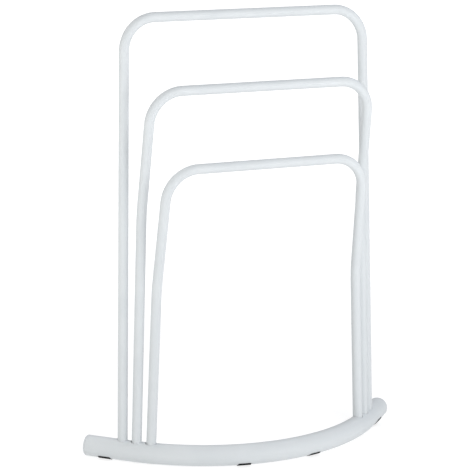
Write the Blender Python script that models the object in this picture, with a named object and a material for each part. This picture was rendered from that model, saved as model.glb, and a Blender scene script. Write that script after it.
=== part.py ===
"""Free-standing towel rack: three bent steel hoops bolted into one curved base tube.

Units are metres. +Z is up, the front faces -Y, and the origin is on the floor under the
middle of the rack's box. A "depth" is measured backwards from the front-most point of the
base's centreline, and a "station" is a distance along that centreline from its middle.
"""

import math
from collections import namedtuple

import bmesh
import bpy
from mathutils import Vector

HEIGHT = 0.8459
GAP = 0.0003  # left between pieces that touch on the real rack

# Base: a 40 mm tube, bent to an arc with a straight tail at each end.
BASE_RADIUS = 0.0200
BASE_WALL = 0.0015
BASE_SIDES = 24
ARC_RADIUS = 0.370
ARC_HALF_ANGLE = math.radians(44)
ARC_STEPS = 28
TAIL_LENGTH = 0.082

# Hoops: 19 mm tubes, each standing on the base by two legs.
HOOP_RADIUS = 0.0095
HOOP_WALL = 0.0012
HOOP_SIDES = 16
CORNER_RADIUS = 0.062
CORNER_STEPS = 8
KINK_RADIUS = 0.250
KINK_STEPS = 2

# foot is half the distance between a hoop's feet. kink and top are (half width, depth, height)
# of the points where the leg would bend if its bends had no radius.
Hoop = namedtuple("Hoop", "foot kink top")
HOOPS = {
    "rear": Hoop(0.2655, None, (0.2490, 0.1720, HEIGHT - HOOP_RADIUS)),
    "middle": Hoop(0.2450, (0.2315, 0.1175, 0.4774), (0.2265, 0.0900, 0.7109)),
    "front": Hoop(0.2230, (0.2110, 0.0880, 0.3364), (0.2035, 0.0605, 0.5684)),
}

# Foot pads: rubber saddles glued round the underside of the base, worn flat where they stand.
PAD_THICKNESS = 0.0010
PAD_HEIGHT = 0.0008  # what is left of the thickness at the flat
PAD_LENGTH = 0.025
PAD_CORNER = 0.003
PAD_STEPS = 4

# station is where a pad is on the base, and wrap is how far it reaches round the tube, each way.
Pad = namedtuple("Pad", "station wrap")
PADS = {
    "left_end": Pad(-0.328, math.radians(50)),
    "middle_left": Pad(-0.063, math.radians(50)),
    "middle_right": Pad(0.0855, math.radians(50)),
    "right_end": Pad(0.319, math.radians(70)),
}

# End caps: a rounded head on a hollow plug with two ribs.
CAP_HEAD = 0.0050
CAP_RIM_RADIUS = 0.0044
CAP_RIM_STEPS = 4
CAP_WALL = 0.0030
PLUG_DEPTH = 0.014
RIB_HEIGHT = 0.0008

# Leg fixings. Heights are along the leg's axis, from the underside of the base.
SEAT_HEIGHT = 0.0038  # how deep the washer's seat is let into the underside
SEAT_RADIUS = 0.0066
BOSS_RADIUS = 0.0082
BOSS_TOP = 0.0054
BOLT_RADIUS = 0.0030
HOLE_RADIUS = BOLT_RADIUS + GAP
WASHER_RADIUS = 0.0060
WASHER_THICKNESS = 0.0008
BOLT_HEAD_RADIUS = 0.0052
BOLT_HEAD_THICKNESS = 0.0016
BOLT_LENGTH = 0.0240
SOCKET_ACROSS_FLATS = 0.0040
SOCKET_DEPTH = 0.0010
INSERT_BOTTOM = BOSS_TOP + GAP
INSERT_FLANGE = 0.0014
INSERT_FLANGE_RADIUS = 0.0091
INSERT_TOP = 0.0300
INSERT_RADIUS = HOOP_RADIUS - HOOP_WALL - GAP
INSERT_CHAMFER = 0.0012
LEG_END = INSERT_BOTTOM + INSERT_FLANGE + GAP
LEG_SLOT = 0.0016  # how much further out than the leg its slot in the base reaches
FIXING_SIDES = 12

BASE_CENTRE_HEIGHT = PAD_HEIGHT + BASE_RADIUS
ARC_END = ARC_RADIUS * ARC_HALF_ANGLE
# The box runs from the front of the base to the back of the rear bar.
MID_DEPTH = (HOOPS["rear"].top[1] + HOOP_RADIUS - BASE_RADIUS) / 2
UP = Vector((0, 0, 1))
SIDES = {"left": -1, "right": 1}


def material(name, colour, roughness, metallic=0.0):
    made = bpy.data.materials.new(name)
    made.use_nodes = True
    shader = made.node_tree.nodes["Principled BSDF"]
    shader.inputs["Base Color"].default_value = (*colour, 1.0)
    shader.inputs["Roughness"].default_value = roughness
    shader.inputs["Metallic"].default_value = metallic
    return made


def add_object(name, bm, finish, smooth=True):
    """Makes an object from a bmesh whose faces are turned to point outwards."""
    bmesh.ops.recalc_face_normals(bm, faces=bm.faces)
    mesh = bpy.data.meshes.new(name)
    bm.to_mesh(mesh)
    bm.free()
    if smooth:
        mesh.shade_smooth()
        mesh.set_sharp_from_angle(angle=math.radians(40))
    obj = bpy.data.objects.new(name, mesh)
    bpy.context.scene.collection.objects.link(obj)
    if finish:
        mesh.materials.append(finish)
    else:
        obj.hide_render = True
        obj.display_type = "WIRE"
    return obj


def boolean(obj, other, operation):
    cut = obj.modifiers.new(other.name, "BOOLEAN")
    cut.operation = operation
    cut.object = other
    cut.solver = "EXACT"


# Centrelines


def base_point(station):
    """The base's centreline at a station, and its direction there."""
    angle = max(-ARC_HALF_ANGLE, min(ARC_HALF_ANGLE, station / ARC_RADIUS))
    direction = Vector((math.cos(angle), math.sin(angle), 0))
    depth = ARC_RADIUS * (1 - math.cos(angle))
    on_arc = Vector((ARC_RADIUS * math.sin(angle), depth - MID_DEPTH, BASE_CENTRE_HEIGHT))
    return on_arc + direction * (station - ARC_RADIUS * angle), direction


def base_path():
    stations = [ARC_END * (2 * i / ARC_STEPS - 1) for i in range(ARC_STEPS + 1)]
    end = ARC_END + TAIL_LENGTH
    return [base_point(station)[0] for station in [-end, *stations, end]]


def station_of(half_width):
    """The station where the base's centreline is that far from the middle plane."""
    arc_half_width = ARC_RADIUS * math.sin(ARC_HALF_ANGLE)
    if half_width <= arc_half_width:
        return ARC_RADIUS * math.asin(half_width / ARC_RADIUS)
    return ARC_END + (half_width - arc_half_width) / math.cos(ARC_HALF_ANGLE)


def bend(before, corner, after, radius, steps):
    """Points of the arc that rounds a corner, from its first point to its last."""
    back = (before - corner).normalized()
    on = (after - corner).normalized()
    half = back.angle(on) / 2
    middle = (back + on).normalized()
    centre = corner + middle * (radius / math.sin(half))
    across = (on - back).normalized()
    swing = math.pi / 2 - half
    turns = [swing * (2 * i / steps - 1) for i in range(steps + 1)]
    return [centre + (across * math.sin(t) - middle * math.cos(t)) * radius for t in turns]


def leg_foot(hoop, side):
    return base_point(side * station_of(hoop.foot))[0]


def bend_point(place, side):
    half_width, depth, height = place
    return Vector((side * half_width, depth - MID_DEPTH, height))


def leg_axis(hoop, side):
    """Where a leg's axis leaves the underside of the base, and its upward direction."""
    foot = leg_foot(hoop, side)
    upward = (bend_point(hoop.kink or hoop.top, side) - foot).normalized()
    return foot - upward * BASE_RADIUS, upward


def hoop_path(hoop):
    underside, upward = leg_axis(hoop, -1)
    end = underside + upward * LEG_END
    top = bend_point(hoop.top, -1)
    middle = Vector((0, top.y, top.z))
    left = [end]
    if hoop.kink:
        kink = bend_point(hoop.kink, -1)
        left += bend(end, kink, top, KINK_RADIUS, KINK_STEPS)
    left += bend(left[-1], top, middle, CORNER_RADIUS, CORNER_STEPS)
    right = [Vector((-point.x, point.y, point.z)) for point in reversed(left)]
    return left + [middle] + right


# Shapes


def rings_along(bm, path, radius, sides):
    """One ring of points for each point of a path, turned as little as possible from ring to ring.

    The ring in the middle of the path has a point straight above it.
    """
    ahead = [(b - a).normalized() for a, b in zip(path, path[1:])]
    tangents = [(a + b).normalized() for a, b in zip([ahead[0], *ahead], [*ahead, ahead[-1]])]
    middle = len(path) // 2
    ups = {middle: UP}
    for here in range(middle + 1, len(path)):
        ups[here] = tangents[here - 1].rotation_difference(tangents[here]) @ ups[here - 1]
    for here in range(middle - 1, -1, -1):
        ups[here] = tangents[here + 1].rotation_difference(tangents[here]) @ ups[here + 1]
    rings = []
    for here, (point, tangent) in enumerate(zip(path, tangents)):
        across = tangent.cross(ups[here])
        ring = []
        for i in range(sides):
            angle = math.tau * i / sides
            out = ups[here] * math.cos(angle) + across * math.sin(angle)
            ring.append(bm.verts.new(point + out * radius))
        rings.append(ring)
    return rings


def join_rings(bm, ring, other):
    for i in range(len(ring)):
        j = (i + 1) % len(ring)
        bm.faces.new((ring[i], ring[j], other[j], other[i]))


def tube(path, outer, wall, sides):
    """A tube with open ends."""
    bm = bmesh.new()
    skins = [rings_along(bm, path, radius, sides) for radius in (outer, outer - wall)]
    for skin in skins:
        for ring, other in zip(skin, skin[1:]):
            join_rings(bm, ring, other)
    for end in (0, -1):
        join_rings(bm, skins[0][end], skins[1][end])
    return bm


def rod(path, radius, sides):
    bm = bmesh.new()
    rings = rings_along(bm, path, radius, sides)
    for ring, other in zip(rings, rings[1:]):
        join_rings(bm, ring, other)
    bm.faces.new(rings[0])
    bm.faces.new(rings[-1])
    return bm


def hexagon(across_flats):
    """A radius that goes round a hexagon, for turned()."""
    return lambda angle: across_flats / 2 / math.cos(angle % (math.pi / 3) - math.pi / 6)


def turned(bm, profile, origin, axis, sides, closed=False):
    """Turns (radius, height) points round an axis, with a point of each ring as high as it goes.

    A closed profile makes a ring. An open one is capped at both of its ends. A radius may be
    a function of the angle.
    """
    first = UP.cross(axis)
    if first.length < 0.5:
        first = axis.cross(Vector((0, 1, 0)))
    first = axis.cross(first).normalized()
    second = axis.cross(first)
    rings = []
    for radius, height in profile:
        ring = []
        for i in range(sides):
            angle = math.tau * i / sides
            reach = radius(angle) if callable(radius) else radius
            out = first * math.cos(angle) + second * math.sin(angle)
            ring.append(bm.verts.new(origin + axis * height + out * reach))
        rings.append(ring)
    for ring, other in zip(rings, rings[1:]):
        join_rings(bm, ring, other)
    if closed:
        join_rings(bm, rings[-1], rings[0])
    else:
        bm.faces.new(rings[0])
        bm.faces.new(rings[-1])


def for_each_leg(profile, sides, hoops=tuple(HOOPS), shift=0.0):
    """The same turned shape on the axis of each leg, or shifted outwards along the base, in one mesh."""
    bm = bmesh.new()
    for hoop in [HOOPS[name] for name in hoops]:
        for side in SIDES.values():
            origin, upward = leg_axis(hoop, side)
            outward = base_point(side * station_of(hoop.foot))[1] * side
            turned(bm, profile, origin + outward * shift, upward, sides)
    return bm


# Pieces


def make_base(paint):
    """The base tube, with a hole over each leg's end and a sunk seat with a bolt hole under it.

    The holes of the middle and front legs are short slots, because those legs lean inwards the most
    and are let in from above.
    """
    base = add_object("base_tube", tube(base_path(), BASE_RADIUS, BASE_WALL, BASE_SIDES), paint)
    core = add_object("base_core", rod(base_path(), BASE_RADIUS - BASE_WALL / 2, BASE_SIDES), None)
    boss = [(BOSS_RADIUS, 0), (BOSS_RADIUS, BOSS_TOP)]
    bosses = add_object("bolt_bosses", for_each_leg(boss, FIXING_SIDES), None)
    boolean(bosses, core, "INTERSECT")
    seat_and_hole = [
        (SEAT_RADIUS, -BASE_RADIUS / 2),
        (SEAT_RADIUS, SEAT_HEIGHT),
        (HOLE_RADIUS, SEAT_HEIGHT),
        (HOLE_RADIUS, BASE_RADIUS / 2),
    ]
    leg_hole = [(HOOP_RADIUS + GAP, BASE_RADIUS), (HOOP_RADIUS + GAP, 3 * BASE_RADIUS)]
    boolean(base, bosses, "UNION")
    cutters = {
        "bolt_cutters": for_each_leg(seat_and_hole, FIXING_SIDES),
        "leg_cutters": for_each_leg(leg_hole, HOOP_SIDES),
        "leg_slot_cutters": for_each_leg(leg_hole, HOOP_SIDES, ("middle", "front"), LEG_SLOT),
    }
    for name, shape in cutters.items():
        boolean(base, add_object(name, shape, None), "DIFFERENCE")


def make_cap(name, side, plastic):
    """An end cap: its head closes the tube's end, and its hollow plug grips the bore with two ribs."""
    end, direction = base_point(side * (ARC_END + TAIL_LENGTH))
    bore = BASE_RADIUS - BASE_WALL - GAP
    sleeve = bore - RIB_HEIGHT
    rim_turns = [math.pi / 2 * i / CAP_RIM_STEPS for i in range(CAP_RIM_STEPS + 1)]
    rim = [
        (
            BASE_RADIUS - CAP_RIM_RADIUS * (1 - math.sin(turn)),
            CAP_HEAD - CAP_RIM_RADIUS * (1.1 - math.cos(turn)),
        )
        for turn in rim_turns
    ]
    ribs = []
    for depth in (PLUG_DEPTH * 0.35, PLUG_DEPTH * 0.75):
        ribs += [(sleeve, -depth + 0.0012), (bore, -depth), (sleeve, -depth - 0.0006)]
    profile = [
        (BASE_RADIUS * 0.3, CAP_HEAD),
        *rim,
        (BASE_RADIUS, GAP),
        (sleeve, GAP),
        *ribs,
        (sleeve - 0.0008, -PLUG_DEPTH),
        (sleeve - CAP_WALL, -PLUG_DEPTH),
        (sleeve - CAP_WALL, CAP_HEAD - CAP_WALL),
    ]
    bm = bmesh.new()
    turned(bm, profile, end, direction * side, BASE_SIDES)
    add_object(name, bm, plastic)


def make_pad(name, pad, rubber):
    """A foot pad: it wraps the underside of the tube, with a flat below and rounded corners."""
    turns = [math.pi / 2 * i / 2 for i in range(3)]
    right = [
        (
            PAD_LENGTH / 2 - PAD_CORNER * (1 - math.sin(turn)),
            pad.wrap - PAD_CORNER * (1 - math.cos(turn)) / BASE_RADIUS,
        )
        for turn in turns
    ]
    left = [(-along, wrap) for along, wrap in reversed(right)]
    inner = BASE_RADIUS + GAP
    outer = BASE_RADIUS + PAD_THICKNESS
    flat = math.acos((BASE_RADIUS + PAD_HEIGHT) / outer)
    bm = bmesh.new()
    rings = []
    for along, wrap in [*left, (0, pad.wrap), *right]:
        centre, direction = base_point(pad.station + along)
        outward = direction.cross(UP)
        front = [flat + (wrap - flat) * i / PAD_STEPS for i in range(PAD_STEPS + 1)]
        under = [*[-angle for angle in reversed(front)], *front]
        section = [(outer, angle) for angle in under] + [(inner, angle) for angle in reversed(under)]
        ring = [centre + (outward * math.sin(a) - UP * math.cos(a)) * reach for reach, a in section]
        rings.append([bm.verts.new(point) for point in ring])
    for ring, other in zip(rings, rings[1:]):
        join_rings(bm, ring, other)
    bm.faces.new(rings[0])
    bm.faces.new(rings[-1])
    add_object(name, bm, rubber)


def make_fixing(leg, axis, zinc):
    """A leg's threaded insert, and the washer and bolt that hold it from below."""
    insert = [
        (INSERT_FLANGE_RADIUS, INSERT_BOTTOM),
        (INSERT_FLANGE_RADIUS, INSERT_BOTTOM + INSERT_FLANGE),
        (INSERT_RADIUS, INSERT_BOTTOM + INSERT_FLANGE),
        (INSERT_RADIUS, INSERT_TOP - INSERT_CHAMFER),
        (INSERT_RADIUS - INSERT_CHAMFER, INSERT_TOP),
        (HOLE_RADIUS, INSERT_TOP),
        (HOLE_RADIUS, INSERT_BOTTOM),
    ]
    bm = bmesh.new()
    turned(bm, insert, *axis, FIXING_SIDES, closed=True)
    add_object(leg + "_threaded_insert", bm, zinc)

    washer_top = SEAT_HEIGHT - GAP
    washer_bottom = washer_top - WASHER_THICKNESS
    washer = [
        (WASHER_RADIUS, washer_bottom),
        (WASHER_RADIUS, washer_top),
        (HOLE_RADIUS, washer_top),
        (HOLE_RADIUS, washer_bottom),
    ]
    bm = bmesh.new()
    turned(bm, washer, *axis, FIXING_SIDES, closed=True)
    add_object(leg + "_washer", bm, zinc)

    head_top = washer_bottom - GAP
    head_bottom = head_top - BOLT_HEAD_THICKNESS
    socket = hexagon(SOCKET_ACROSS_FLATS)
    bolt = [
        (socket, head_bottom + SOCKET_DEPTH),
        (socket, head_bottom),
        (BOLT_HEAD_RADIUS * 0.85, head_bottom),
        (BOLT_HEAD_RADIUS, head_bottom + BOLT_HEAD_THICKNESS * 0.4),
        (BOLT_HEAD_RADIUS, head_top),
        (BOLT_RADIUS, head_top),
        (BOLT_RADIUS, head_top + BOLT_LENGTH - BOLT_RADIUS / 3),
        (BOLT_RADIUS * 2 / 3, head_top + BOLT_LENGTH),
    ]
    bm = bmesh.new()
    turned(bm, bolt, *axis, FIXING_SIDES)
    add_object(leg + "_bolt", bm, zinc)


def main():
    for obj in list(bpy.data.objects):
        bpy.data.objects.remove(obj)
    paint = material("powder_coat_white", (0.78, 0.82, 0.85), 0.42)
    plastic = material("cap_plastic_white", (0.76, 0.80, 0.83), 0.50)
    rubber = material("pad_rubber_black", (0.02, 0.02, 0.02), 0.85)
    zinc = material("zinc_plated_steel", (0.62, 0.63, 0.65), 0.35, metallic=1.0)

    make_base(paint)
    for name, hoop in HOOPS.items():
        add_object(name + "_hoop", tube(hoop_path(hoop), HOOP_RADIUS, HOOP_WALL, HOOP_SIDES), paint)
        for side_name, side in SIDES.items():
            make_fixing(name + "_" + side_name, leg_axis(hoop, side), zinc)
    for side_name, side in SIDES.items():
        make_cap("end_cap_" + side_name, side, plastic)
    for place, pad in PADS.items():
        make_pad("foot_pad_" + place, pad, rubber)


main()
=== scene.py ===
"""Looks of the free-standing towel rack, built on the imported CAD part.

The tubes, caps, pads, washers and bolts are rebuilt with fine bends and round sections on the CAD's
own centrelines, which are repeated here in metres. Every piece rides on the one body, "root".
"""

import math
from collections import namedtuple

import bmesh
import bpy
from mathutils import Matrix, Vector


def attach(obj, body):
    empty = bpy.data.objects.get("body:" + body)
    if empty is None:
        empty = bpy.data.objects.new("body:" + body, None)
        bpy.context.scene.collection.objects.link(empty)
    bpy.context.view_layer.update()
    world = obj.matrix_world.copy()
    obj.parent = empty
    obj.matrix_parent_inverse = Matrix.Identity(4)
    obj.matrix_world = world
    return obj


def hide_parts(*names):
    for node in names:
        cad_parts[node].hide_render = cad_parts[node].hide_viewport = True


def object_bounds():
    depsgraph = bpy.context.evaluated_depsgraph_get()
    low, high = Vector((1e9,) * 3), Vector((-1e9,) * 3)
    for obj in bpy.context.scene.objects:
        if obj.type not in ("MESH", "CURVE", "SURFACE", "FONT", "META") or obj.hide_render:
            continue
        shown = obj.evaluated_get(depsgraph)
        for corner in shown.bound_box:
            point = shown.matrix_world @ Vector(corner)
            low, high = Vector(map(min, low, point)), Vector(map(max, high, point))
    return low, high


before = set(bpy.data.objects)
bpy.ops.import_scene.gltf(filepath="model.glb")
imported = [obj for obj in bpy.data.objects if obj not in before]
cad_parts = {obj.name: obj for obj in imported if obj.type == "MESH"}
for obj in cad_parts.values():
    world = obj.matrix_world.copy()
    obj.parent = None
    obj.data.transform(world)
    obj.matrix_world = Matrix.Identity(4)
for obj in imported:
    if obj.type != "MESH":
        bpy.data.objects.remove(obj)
cad_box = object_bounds()

BODY = "root"
SHARP_ANGLE = math.radians(35)  # an edge sharper than this isn't shaded smooth

# The sizes from here to the leg fixings are the CAD's. The counts of steps and sides are finer, and
# the washers, bolts and cap heads have edges, threads and crowns that the CAD leaves out.
GAP = 0.0003

BASE_RADIUS = 0.0200
BASE_WALL = 0.0015
BASE_SIDES = 72
ARC_RADIUS = 0.370
ARC_HALF_ANGLE = math.radians(44)
ARC_STEPS = 120
TAIL_LENGTH = 0.082

HOOP_RADIUS = 0.0095
HOOP_WALL = 0.0012
HOOP_SIDES = 48
CORNER_RADIUS = 0.062
CORNER_STEPS = 28
KINK_RADIUS = 0.250
KINK_STEPS = 10

# foot is half the distance between a hoop's feet. kink and top are (half width, depth, height)
# of the points where the leg would bend if its bends had no radius.
Hoop = namedtuple("Hoop", "foot kink top")
HOOPS = {
    "rear": Hoop(0.2655, None, (0.2490, 0.1720, cad_box[1].z - HOOP_RADIUS)),
    "middle": Hoop(0.2450, (0.2315, 0.1175, 0.4774), (0.2265, 0.0900, 0.7109)),
    "front": Hoop(0.2230, (0.2110, 0.0880, 0.3364), (0.2035, 0.0605, 0.5684)),
}

PAD_THICKNESS = 0.0010
PAD_HEIGHT = 0.0008  # what is left of the thickness at the flat
PAD_LENGTH = 0.025
PAD_CORNER = 0.003
PAD_CORNER_STEPS = 8
PAD_STEPS = 12

# station is where a pad is on the base, and wrap is how far it reaches round the tube, each way.
Pad = namedtuple("Pad", "station wrap")
PADS = {
    "left_end": Pad(-0.328, math.radians(50)),
    "middle_left": Pad(-0.063, math.radians(50)),
    "middle_right": Pad(0.0855, math.radians(50)),
    "right_end": Pad(0.319, math.radians(70)),
}

CAP_HEAD = 0.0050
CAP_RIM_RADIUS = 0.0044
CAP_RIM_STEPS = 14
CAP_DOME = 0.00044
CAP_DOME_STEPS = 6
CAP_WALL = 0.0030
PLUG_DEPTH = 0.014
PLUG_CHAMFER = 0.0008
RIB_HEIGHT = 0.0008
RIB_PLACES = (0.35, 0.75)  # as shares of the plug's depth
RIB_LEAD = 0.0006  # the length of a rib's slope towards the plug's end
RIB_BACK = 0.0012

# Leg fixings. Heights are along the leg's axis, from the underside of the base.
SEAT_HEIGHT = 0.0038  # how deep the washer's seat is let into the underside
SEAT_RADIUS = 0.0066
BOSS_RADIUS = 0.0082
BOSS_TOP = 0.0054
BOLT_RADIUS = 0.0030
HOLE_RADIUS = BOLT_RADIUS + GAP
WASHER_RADIUS = 0.0060
WASHER_THICKNESS = 0.0008
BOLT_HEAD_RADIUS = 0.0052
BOLT_HEAD_THICKNESS = 0.0016
BOLT_LENGTH = 0.0240
BOLT_TIP_RADIUS = BOLT_RADIUS * 2 / 3
BOLT_FACE = 0.72  # the flat of the head's face, as a share of its radius
BOLT_CROWN = 0.6  # the height of the head's rounded edge, as a share of its thickness
BOLT_CROWN_STEPS = 6
SOCKET_ACROSS_FLATS = 0.0040
SOCKET_DEPTH = 0.0010
INSERT_BOTTOM = BOSS_TOP + GAP
INSERT_FLANGE = 0.0014
LEG_END = INSERT_BOTTOM + INSERT_FLANGE + GAP
LEG_SLOT = 0.0016  # how much further out than the leg its slot in the base reaches
THREAD_START = 0.0040  # how far from the head
THREAD_PITCH = 0.0010
THREAD_DEPTH = 0.0003
FIXING_SIDES = 48

BASE_CENTRE_HEIGHT = PAD_HEIGHT + BASE_RADIUS
ARC_END = ARC_RADIUS * ARC_HALF_ANGLE
# The box runs from the front of the base to the back of the rear bar.
MID_DEPTH = (HOOPS["rear"].top[1] + HOOP_RADIUS - BASE_RADIUS) / 2
UP = Vector((0, 0, 1))
SIDES = {"left": -1, "right": 1}

# The camera, from the same fit that gave the CAD its sizes. Its angles are in radians.
CAMERA_PLACE = (-1.7920, -3.5820, 1.4151)
CAMERA_YAW = 0.4515
CAMERA_PITCH = -0.2423
CAMERA_ROLL = 0.0260
CAMERA_LENS = 166.7
SENSOR_WIDTH = 36

# Every softbox is aimed at the middle of the rack. right is its angle in degrees to the right of
# the camera, up is its angle above the level, size is the length of its side, and power is in watts.
Softbox = namedtuple("Softbox", "right up distance size power colour")
SOFTBOXES = {
    "softbox_front": Softbox(26, 42, 3.0, 1.5, 45, (0.99, 0.99, 1)),
    "softbox_left": Softbox(-65, 8, 1.25, 0.7, 4.6, (1, 0.98, 0.95)),
    "softbox_right": Softbox(52, 2, 1.6, 0.8, 8.0, (0.98, 0.98, 1)),
    "softbox_back_left": Softbox(-140, 45, 3.0, 1.5, 22, (1, 0.94, 0.96)),
    "softbox_back_right": Softbox(140, 45, 3.0, 1.5, 16, (0.75, 0.84, 1)),
}
SOFTBOX_AIM = Vector((0, 0, 0.4))
WORLD_STRENGTH = 0.33
FLOOR_SIZE = 120
FLOOR_DROP = 0.0002  # keeps the floor's face off the pads' faces
FLOOR_GLOW = (0.80, 1.10)  # under the rack, and far from it
FLOOR_GLOW_REACH = (0.6, 3.0)  # the distances between which the glow rises


# Materials


class Nodes:
    """The node tree of a new material, with its shader and its texture coordinates in metres."""

    def __init__(self, name):
        self.material = bpy.data.materials.new(name)
        self.material.use_nodes = True
        self.tree = self.material.node_tree
        self.shader = self.tree.nodes["Principled BSDF"]
        self.place = self.add("ShaderNodeTexCoord").outputs["Object"]

    def add(self, kind, **settings):
        node = self.tree.nodes.new(kind)
        for name, value in settings.items():
            setattr(node, name, value)
        return node

    def link(self, output, socket):
        self.tree.links.new(output, socket)

    def noise(self, scale, detail=2.0, roughness=0.5, stretch=None):
        """A noise texture's value, from 0 to 1. stretch scales it differently along each axis."""
        noise = self.add("ShaderNodeTexNoise")
        noise.inputs["Scale"].default_value = scale
        noise.inputs["Detail"].default_value = detail
        noise.inputs["Roughness"].default_value = roughness
        place = self.place
        if stretch:
            mapping = self.add("ShaderNodeMapping")
            mapping.inputs["Scale"].default_value = stretch
            self.link(place, mapping.inputs["Vector"])
            place = mapping.outputs["Vector"]
        self.link(place, noise.inputs["Vector"])
        return noise.outputs["Fac"]

    def ramp(self, value, *stops):
        """A colour ramp through (position, colour) stops."""
        ramp = self.add("ShaderNodeValToRGB")
        elements = ramp.color_ramp.elements
        while len(elements) < len(stops):
            elements.new(0.5)
        for element, (position, colour) in zip(elements, stops):
            element.position = position
            element.color = (*colour, 1.0)
        self.link(value, ramp.inputs["Fac"])
        return ramp.outputs["Color"]

    def remap(self, value, low, high, start=0.3, end=0.7):
        """Spreads start to end over low to high. A noise seldom leaves the range from 0.3 to 0.7."""
        remap = self.add("ShaderNodeMapRange")
        for name, number in {"From Min": start, "From Max": end, "To Min": low, "To Max": high}.items():
            remap.inputs[name].default_value = number
        self.link(value, remap.inputs["Value"])
        return remap.outputs["Result"]

    def bump(self, value, height, below=None):
        """A bump of that height in metres, laid over another bump if there is one."""
        bump = self.add("ShaderNodeBump")
        bump.inputs["Strength"].default_value = 1.0
        bump.inputs["Distance"].default_value = height
        self.link(value, bump.inputs["Height"])
        if below:
            self.link(below, bump.inputs["Normal"])
        return bump.outputs["Normal"]

    def shade(self, colour, roughness, normal, **settings):
        """Links what varies over the surface, and sets what doesn't on the shader itself."""
        self.link(colour, self.shader.inputs["Base Color"])
        self.link(roughness, self.shader.inputs["Roughness"])
        self.link(normal, self.shader.inputs["Normal"])
        for name, value in settings.items():
            self.shader.inputs[name.replace("_", " ")].default_value = value
        return self.material


def powder_coat():
    """White powder coat: satin, with a fine orange peel over a slower unevenness in its thickness."""
    nodes = Nodes("white_powder_coat")
    thickness = nodes.noise(22, detail=3)
    peel = nodes.noise(620, detail=2, roughness=0.45)
    grain = nodes.noise(2600, detail=1)
    colour = nodes.ramp(thickness, (0.30, (0.560, 0.589, 0.604)), (0.70, (0.581, 0.608, 0.621)))
    normal = nodes.bump(peel, 0.000022, nodes.bump(thickness, 0.00004))
    roughness = nodes.remap(grain, 0.46, 0.56)
    return nodes.shade(colour, roughness, normal, IOR=1.45, Specular_IOR_Level=0.2)


def cap_plastic():
    """White moulded plastic: spark-eroded grain, a shade cooler and duller than the coat."""
    nodes = Nodes("white_moulded_plastic")
    flow = nodes.noise(60, detail=2)
    grain = nodes.noise(1800, detail=3, roughness=0.6)
    colour = nodes.ramp(flow, (0.30, (0.536, 0.565, 0.586)), (0.70, (0.555, 0.583, 0.603)))
    normal = nodes.bump(grain, 0.000030)
    return nodes.shade(colour, nodes.remap(grain, 0.46, 0.60), normal, IOR=1.46)


def pad_rubber():
    """Black rubber, a little dusty, with a dense fine grain."""
    nodes = Nodes("black_rubber")
    dust = nodes.noise(240, detail=5, roughness=0.65)
    grain = nodes.noise(3200, detail=2)
    colour = nodes.ramp(dust, (0.35, (0.006, 0.006, 0.0065)), (0.75, (0.018, 0.018, 0.019)))
    normal = nodes.bump(grain, 0.00005)
    return nodes.shade(colour, nodes.remap(dust, 0.80, 0.94), normal, Specular_IOR_Level=0.12)


def zinc_steel():
    """Bright zinc plating over turned steel, faintly mottled, with fine tool marks."""
    nodes = Nodes("zinc_plated_steel")
    mottle = nodes.noise(380, detail=4, roughness=0.6)
    marks = nodes.noise(900, detail=3, stretch=(0.4, 0.4, 6.0))
    colour = nodes.ramp(
        mottle,
        (0.30, (0.560, 0.575, 0.600)),
        (0.52, (0.640, 0.645, 0.655)),
        (0.74, (0.680, 0.670, 0.640)),
    )
    normal = nodes.bump(marks, 0.000012)
    return nodes.shade(colour, nodes.remap(mottle, 0.24, 0.42), normal, Metallic=1.0)


def glowing_floor():
    """A floor that glows like a light table, and more so further out, where the lamps don't reach."""
    nodes = Nodes("pale_floor")
    patches = nodes.noise(0.8, detail=2)
    colour = nodes.ramp(patches, (0.30, (0.240, 0.241, 0.242)), (0.70, (0.260, 0.261, 0.262)))
    normal = nodes.bump(nodes.noise(400), 0.00001)
    distance = nodes.add("ShaderNodeVectorMath", operation="LENGTH")
    nodes.link(nodes.place, distance.inputs[0])
    glow = nodes.remap(distance.outputs["Value"], *FLOOR_GLOW, *FLOOR_GLOW_REACH)
    nodes.link(glow, nodes.shader.inputs["Emission Strength"])
    return nodes.shade(colour, nodes.remap(patches, 0.80, 0.86), normal, Emission_Color=(1, 1, 1, 1))


# Centrelines, as in the CAD


def base_point(station):
    """The base's centreline at a station, and its direction there."""
    angle = max(-ARC_HALF_ANGLE, min(ARC_HALF_ANGLE, station / ARC_RADIUS))
    direction = Vector((math.cos(angle), math.sin(angle), 0))
    depth = ARC_RADIUS * (1 - math.cos(angle))
    on_arc = Vector((ARC_RADIUS * math.sin(angle), depth - MID_DEPTH, BASE_CENTRE_HEIGHT))
    return on_arc + direction * (station - ARC_RADIUS * angle), direction


def base_path():
    stations = [ARC_END * (2 * i / ARC_STEPS - 1) for i in range(ARC_STEPS + 1)]
    end = ARC_END + TAIL_LENGTH
    return [base_point(station)[0] for station in [-end, *stations, end]]


def station_of(half_width):
    """The station where the base's centreline is that far from the middle plane."""
    arc_half_width = ARC_RADIUS * math.sin(ARC_HALF_ANGLE)
    if half_width <= arc_half_width:
        return ARC_RADIUS * math.asin(half_width / ARC_RADIUS)
    return ARC_END + (half_width - arc_half_width) / math.cos(ARC_HALF_ANGLE)


def bend(before, corner, after, radius, steps):
    """Points of the arc that rounds a corner, from its first point to its last."""
    back = (before - corner).normalized()
    on = (after - corner).normalized()
    half = back.angle(on) / 2
    middle = (back + on).normalized()
    centre = corner + middle * (radius / math.sin(half))
    across = (on - back).normalized()
    swing = math.pi / 2 - half
    turns = [swing * (2 * i / steps - 1) for i in range(steps + 1)]
    return [centre + (across * math.sin(t) - middle * math.cos(t)) * radius for t in turns]


def bend_point(place, side):
    half_width, depth, height = place
    return Vector((side * half_width, depth - MID_DEPTH, height))


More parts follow.
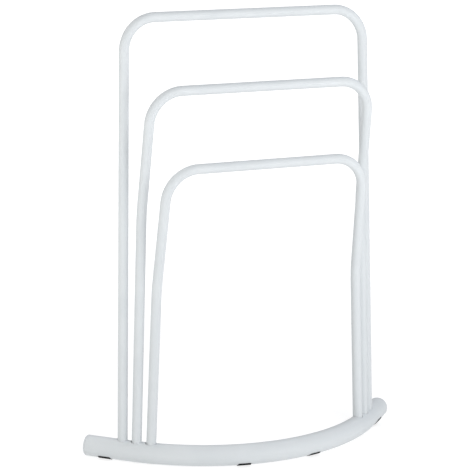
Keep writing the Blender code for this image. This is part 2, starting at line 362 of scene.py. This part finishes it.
def leg_axis(hoop, side):
    """Where a leg's axis leaves the underside of the base, and its upward direction."""
    foot = base_point(side * station_of(hoop.foot))[0]
    upward = (bend_point(hoop.kink or hoop.top, side) - foot).normalized()
    return foot - upward * BASE_RADIUS, upward


def hoop_path(hoop):
    underside, upward = leg_axis(hoop, -1)
    end = underside + upward * LEG_END
    top = bend_point(hoop.top, -1)
    middle = Vector((0, top.y, top.z))
    left = [end]
    if hoop.kink:
        kink = bend_point(hoop.kink, -1)
        left += bend(end, kink, top, KINK_RADIUS, KINK_STEPS)
    left += bend(left[-1], top, middle, CORNER_RADIUS, CORNER_STEPS)
    right = [Vector((-point.x, point.y, point.z)) for point in reversed(left)]
    return left + [middle] + right


# Shapes


def rings_along(bm, path, radius, sides):
    """One ring of points for each point of a path, turned as little as possible from ring to ring.

    The ring in the middle of the path has a point straight above it.
    """
    ahead = [(b - a).normalized() for a, b in zip(path, path[1:])]
    tangents = [(a + b).normalized() for a, b in zip([ahead[0], *ahead], [*ahead, ahead[-1]])]
    middle = len(path) // 2
    ups = {middle: UP}
    for here in range(middle + 1, len(path)):
        ups[here] = tangents[here - 1].rotation_difference(tangents[here]) @ ups[here - 1]
    for here in range(middle - 1, -1, -1):
        ups[here] = tangents[here + 1].rotation_difference(tangents[here]) @ ups[here + 1]
    rings = []
    for here, (point, tangent) in enumerate(zip(path, tangents)):
        across = tangent.cross(ups[here])
        ring = []
        for i in range(sides):
            angle = math.tau * i / sides
            out = ups[here] * math.cos(angle) + across * math.sin(angle)
            ring.append(bm.verts.new(point + out * radius))
        rings.append(ring)
    return rings


def join_rings(bm, ring, other):
    for i in range(len(ring)):
        j = (i + 1) % len(ring)
        bm.faces.new((ring[i], ring[j], other[j], other[i]))


def tube(path, outer, wall, sides):
    """A tube with open ends."""
    bm = bmesh.new()
    skins = [rings_along(bm, path, radius, sides) for radius in (outer, outer - wall)]
    for skin in skins:
        for ring, other in zip(skin, skin[1:]):
            join_rings(bm, ring, other)
    for end in (0, -1):
        join_rings(bm, skins[0][end], skins[1][end])
    return bm


def rod(path, radius, sides):
    bm = bmesh.new()
    rings = rings_along(bm, path, radius, sides)
    for ring, other in zip(rings, rings[1:]):
        join_rings(bm, ring, other)
    bm.faces.new(rings[0])
    bm.faces.new(rings[-1])
    return bm


def hexagon(across_flats):
    """A radius that goes round a hexagon, for turned()."""
    return lambda angle: across_flats / 2 / math.cos(angle % (math.pi / 3) - math.pi / 6)


def turned(bm, profile, origin, axis, sides, closed=False):
    """Turns (radius, height) points round an axis, with a point of each ring as high as it goes.

    A closed profile makes a ring. An open one is capped at both of its ends. A radius may be
    a function of the angle.
    """
    first = UP.cross(axis)
    if first.length < 0.5:
        first = axis.cross(Vector((0, 1, 0)))
    first = axis.cross(first).normalized()
    second = axis.cross(first)
    rings = []
    for radius, height in profile:
        ring = []
        for i in range(sides):
            angle = math.tau * i / sides
            reach = radius(angle) if callable(radius) else radius
            out = first * math.cos(angle) + second * math.sin(angle)
            ring.append(bm.verts.new(origin + axis * height + out * reach))
        rings.append(ring)
    for ring, other in zip(rings, rings[1:]):
        join_rings(bm, ring, other)
    if closed:
        join_rings(bm, rings[-1], rings[0])
    else:
        bm.faces.new(rings[0])
        bm.faces.new(rings[-1])


def for_each_leg(profile, sides, hoops=tuple(HOOPS), shift=0.0):
    """The same turned shape on the axis of each leg, or shifted outwards along the base, in one mesh."""
    bm = bmesh.new()
    for hoop in [HOOPS[name] for name in hoops]:
        for side in SIDES.values():
            origin, upward = leg_axis(hoop, side)
            outward = base_point(side * station_of(hoop.foot))[1] * side
            turned(bm, profile, origin + outward * shift, upward, sides)
    return bm


def quarter_turns(steps):
    return [math.pi / 2 * i / steps for i in range(steps + 1)]


# Pieces


def add_object(name, bm, finish=None):
    """Makes an object from a bmesh whose faces are turned to point outwards."""
    bmesh.ops.recalc_face_normals(bm, faces=bm.faces)
    mesh = bpy.data.meshes.new(name)
    bm.to_mesh(mesh)
    bm.free()
    mesh.shade_smooth()
    mesh.set_sharp_from_angle(angle=SHARP_ANGLE)
    if finish:
        mesh.materials.append(finish)
    obj = bpy.data.objects.new(name, mesh)
    bpy.context.scene.collection.objects.link(obj)
    return obj


def add_piece(name, bm, finish, node):
    """An object that stands for a CAD node and rides on the rack's body."""
    piece = add_object(name, bm, finish)
    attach(piece, BODY)
    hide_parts(node)
    return piece


def boolean(obj, other, operation):
    """Joins or cuts obj with another object, and removes that one."""
    cut = obj.modifiers.new(other.name, "BOOLEAN")
    cut.operation = operation
    cut.object = other
    cut.solver = "EXACT"
    result = obj.evaluated_get(bpy.context.evaluated_depsgraph_get())
    mesh = bpy.data.meshes.new_from_object(result)
    obj.modifiers.remove(cut)
    obj.data = mesh
    bpy.data.objects.remove(other)


def make_base(paint):
    base = add_piece(
        "curved_base_tube",
        tube(base_path(), BASE_RADIUS, BASE_WALL, BASE_SIDES),
        paint,
        "base_tube",
    )
    core = add_object("base_core", rod(base_path(), BASE_RADIUS - BASE_WALL / 2, BASE_SIDES))
    boss = [(BOSS_RADIUS, 0), (BOSS_RADIUS, BOSS_TOP)]
    bosses = add_object("bolt_bosses", for_each_leg(boss, FIXING_SIDES))
    boolean(bosses, core, "INTERSECT")
    boolean(base, bosses, "UNION")
    seat_and_hole = [
        (SEAT_RADIUS, -BASE_RADIUS / 2),
        (SEAT_RADIUS, SEAT_HEIGHT),
        (HOLE_RADIUS, SEAT_HEIGHT),
        (HOLE_RADIUS, BASE_RADIUS / 2),
    ]
    leg_hole = [(HOOP_RADIUS + GAP, BASE_RADIUS), (HOOP_RADIUS + GAP, 3 * BASE_RADIUS)]
    cutters = {
        "bolt_cutters": for_each_leg(seat_and_hole, FIXING_SIDES),
        "leg_cutters": for_each_leg(leg_hole, FIXING_SIDES),
        "leg_slot_cutters": for_each_leg(leg_hole, FIXING_SIDES, ("middle", "front"), LEG_SLOT),
    }
    for name, shape in cutters.items():
        boolean(base, add_object(name, shape), "DIFFERENCE")
    base.data.set_sharp_from_angle(angle=SHARP_ANGLE)


def make_cap(side_name, side, plastic):
    """An end cap: a slightly domed head with a rounded rim, on a hollow plug with two ribs."""
    end, direction = base_point(side * (ARC_END + TAIL_LENGTH))
    bore = BASE_RADIUS - BASE_WALL - GAP
    sleeve = bore - RIB_HEIGHT
    flat_radius = BASE_RADIUS - CAP_RIM_RADIUS
    dome = [
        (flat_radius * i / CAP_DOME_STEPS, CAP_HEAD - CAP_DOME * (i / CAP_DOME_STEPS) ** 2)
        for i in range(1, CAP_DOME_STEPS)
    ]
    rim = [
        (
            flat_radius + CAP_RIM_RADIUS * math.sin(turn),
            CAP_HEAD - CAP_DOME - CAP_RIM_RADIUS * (1 - math.cos(turn)),
        )
        for turn in quarter_turns(CAP_RIM_STEPS)
    ]
    ribs = []
    for share in RIB_PLACES:
        depth = PLUG_DEPTH * share
        ribs += [(sleeve, -depth + RIB_BACK), (bore, -depth), (sleeve, -depth - RIB_LEAD)]
    profile = [
        *dome,
        *rim,
        (BASE_RADIUS, GAP),
        (sleeve, GAP),
        *ribs,
        (sleeve - PLUG_CHAMFER, -PLUG_DEPTH),
        (sleeve - CAP_WALL, -PLUG_DEPTH),
        (sleeve - CAP_WALL, CAP_HEAD - CAP_WALL),
    ]
    bm = bmesh.new()
    turned(bm, profile, end, direction * side, BASE_SIDES)
    add_piece("moulded_cap_" + side_name, bm, plastic, "end_cap_" + side_name)


def make_pad(place, pad, rubber):
    """A foot pad: it wraps the underside of the tube, with a flat below and rounded corners."""
    right = [
        (
            PAD_LENGTH / 2 - PAD_CORNER * (1 - math.sin(turn)),
            pad.wrap - PAD_CORNER * (1 - math.cos(turn)) / BASE_RADIUS,
        )
        for turn in quarter_turns(PAD_CORNER_STEPS)
    ]
    left = [(-along, wrap) for along, wrap in reversed(right)]
    inner = BASE_RADIUS + GAP
    outer = BASE_RADIUS + PAD_THICKNESS
    flat = math.acos((BASE_RADIUS + PAD_HEIGHT) / outer)
    bm = bmesh.new()
    rings = []
    for along, wrap in [*left, (0, pad.wrap), *right]:
        centre, direction = base_point(pad.station + along)
        outward = direction.cross(UP)
        front = [flat + (wrap - flat) * i / PAD_STEPS for i in range(PAD_STEPS + 1)]
        under = [*[-angle for angle in reversed(front)], *front]
        section = [(outer, angle) for angle in under] + [(inner, angle) for angle in reversed(under)]
        ring = [centre + (outward * math.sin(a) - UP * math.cos(a)) * reach for reach, a in section]
        rings.append([bm.verts.new(point) for point in ring])
    for ring, other in zip(rings, rings[1:]):
        join_rings(bm, ring, other)
    bm.faces.new(rings[0])
    bm.faces.new(rings[-1])
    add_piece("rubber_pad_" + place, bm, rubber, "foot_pad_" + place)


def make_washer_and_bolt(leg, axis, zinc):
    washer_top = SEAT_HEIGHT - GAP
    washer_bottom = washer_top - WASHER_THICKNESS
    edge = WASHER_THICKNESS / 4
    washer = [
        (WASHER_RADIUS - edge, washer_bottom),
        (WASHER_RADIUS, washer_bottom + edge),
        (WASHER_RADIUS, washer_top - edge),
        (WASHER_RADIUS - edge, washer_top),
        (HOLE_RADIUS, washer_top),
        (HOLE_RADIUS, washer_bottom),
    ]
    bm = bmesh.new()
    turned(bm, washer, *axis, FIXING_SIDES, closed=True)
    add_piece(leg + "_plain_washer", bm, zinc, leg + "_washer")

    head_top = washer_bottom - GAP
    head_bottom = head_top - BOLT_HEAD_THICKNESS
    bolt_end = head_top + BOLT_LENGTH
    socket = hexagon(SOCKET_ACROSS_FLATS)
    crown = [
        (
            BOLT_HEAD_RADIUS * (BOLT_FACE + (1 - BOLT_FACE) * math.sin(turn)),
            head_bottom + BOLT_HEAD_THICKNESS * BOLT_CROWN * (1 - math.cos(turn)),
        )
        for turn in quarter_turns(BOLT_CROWN_STEPS)
    ]
    threads = []
    height = head_top + THREAD_START
    while height < bolt_end - THREAD_PITCH:
        threads += [(BOLT_RADIUS, height), (BOLT_RADIUS - THREAD_DEPTH, height + THREAD_PITCH / 2)]
        height += THREAD_PITCH
    bolt = [
        (socket, head_bottom + SOCKET_DEPTH),
        (socket, head_bottom),
        *crown,
        (BOLT_HEAD_RADIUS, head_top),
        (BOLT_RADIUS, head_top),
        *threads,
        (BOLT_TIP_RADIUS, bolt_end),
    ]
    bm = bmesh.new()
    turned(bm, bolt, *axis, FIXING_SIDES)
    add_piece(leg + "_socket_bolt", bm, zinc, leg + "_bolt")


def finish_node(name, finish):
    """Gives a CAD node that stays in view a material of this script's."""
    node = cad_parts[name]
    for place in node.material_slots:
        place.link = "OBJECT"
        place.material = finish


# Stage


def add_floor():
    bm = bmesh.new()
    half = FLOOR_SIZE / 2
    corners = [(-half, -half), (half, -half), (half, half), (-half, half)]
    bm.faces.new([bm.verts.new((x, y, -FLOOR_DROP)) for x, y in corners])
    add_object("floor", bm, glowing_floor())


def add_softbox(name, settings):
    light = bpy.data.lights.new(name, "AREA")
    light.shape = "SQUARE"
    light.size = settings.size
    light.energy = settings.power
    light.color = settings.colour
    softbox = bpy.data.objects.new(name, light)
    heading = math.atan2(CAMERA_PLACE[0], CAMERA_PLACE[1]) - math.radians(settings.right)
    level = Vector((math.sin(heading), math.cos(heading), 0))
    up = math.radians(settings.up)
    outward = level * math.cos(up) + UP * math.sin(up)
    softbox.location = SOFTBOX_AIM + outward * settings.distance
    softbox.rotation_euler = outward.to_track_quat("Z", "Y").to_euler()
    bpy.context.scene.collection.objects.link(softbox)


def light_world():
    world = bpy.data.worlds.new("studio")
    world.use_nodes = True
    background = world.node_tree.nodes["Background"]
    background.inputs["Color"].default_value = (1, 1, 1, 1)
    background.inputs["Strength"].default_value = WORLD_STRENGTH
    bpy.context.scene.world = world


def add_camera():
    data = bpy.data.cameras.new("camera")
    data.sensor_width = SENSOR_WIDTH
    data.lens = CAMERA_LENS
    camera = bpy.data.objects.new("camera", data)
    camera.matrix_world = (
        Matrix.Translation(CAMERA_PLACE)
        @ Matrix.Rotation(-CAMERA_YAW, 4, "Z")
        @ Matrix.Rotation(math.pi / 2 + CAMERA_PITCH, 4, "X")
        @ Matrix.Rotation(CAMERA_ROLL, 4, "Z")
    )
    bpy.context.scene.collection.objects.link(camera)
    bpy.context.scene.camera = camera


def main():
    add_camera()
    paint = powder_coat()
    plastic = cap_plastic()
    rubber = pad_rubber()
    zinc = zinc_steel()

    make_base(paint)
    for name, hoop in HOOPS.items():
        shape = tube(hoop_path(hoop), HOOP_RADIUS, HOOP_WALL, HOOP_SIDES)
        add_piece(name + "_hoop_tube", shape, paint, name + "_hoop")
        for side_name, side in SIDES.items():
            leg = name + "_" + side_name
            make_washer_and_bolt(leg, leg_axis(hoop, side), zinc)
            finish_node(leg + "_threaded_insert", zinc)
    for side_name, side in SIDES.items():
        make_cap(side_name, side, plastic)
    for place, pad in PADS.items():
        make_pad(place, pad, rubber)

    add_floor()
    for name, settings in SOFTBOXES.items():
        add_softbox(name, settings)
    light_world()
    bpy.context.scene.view_settings.view_transform = "Standard"


main()
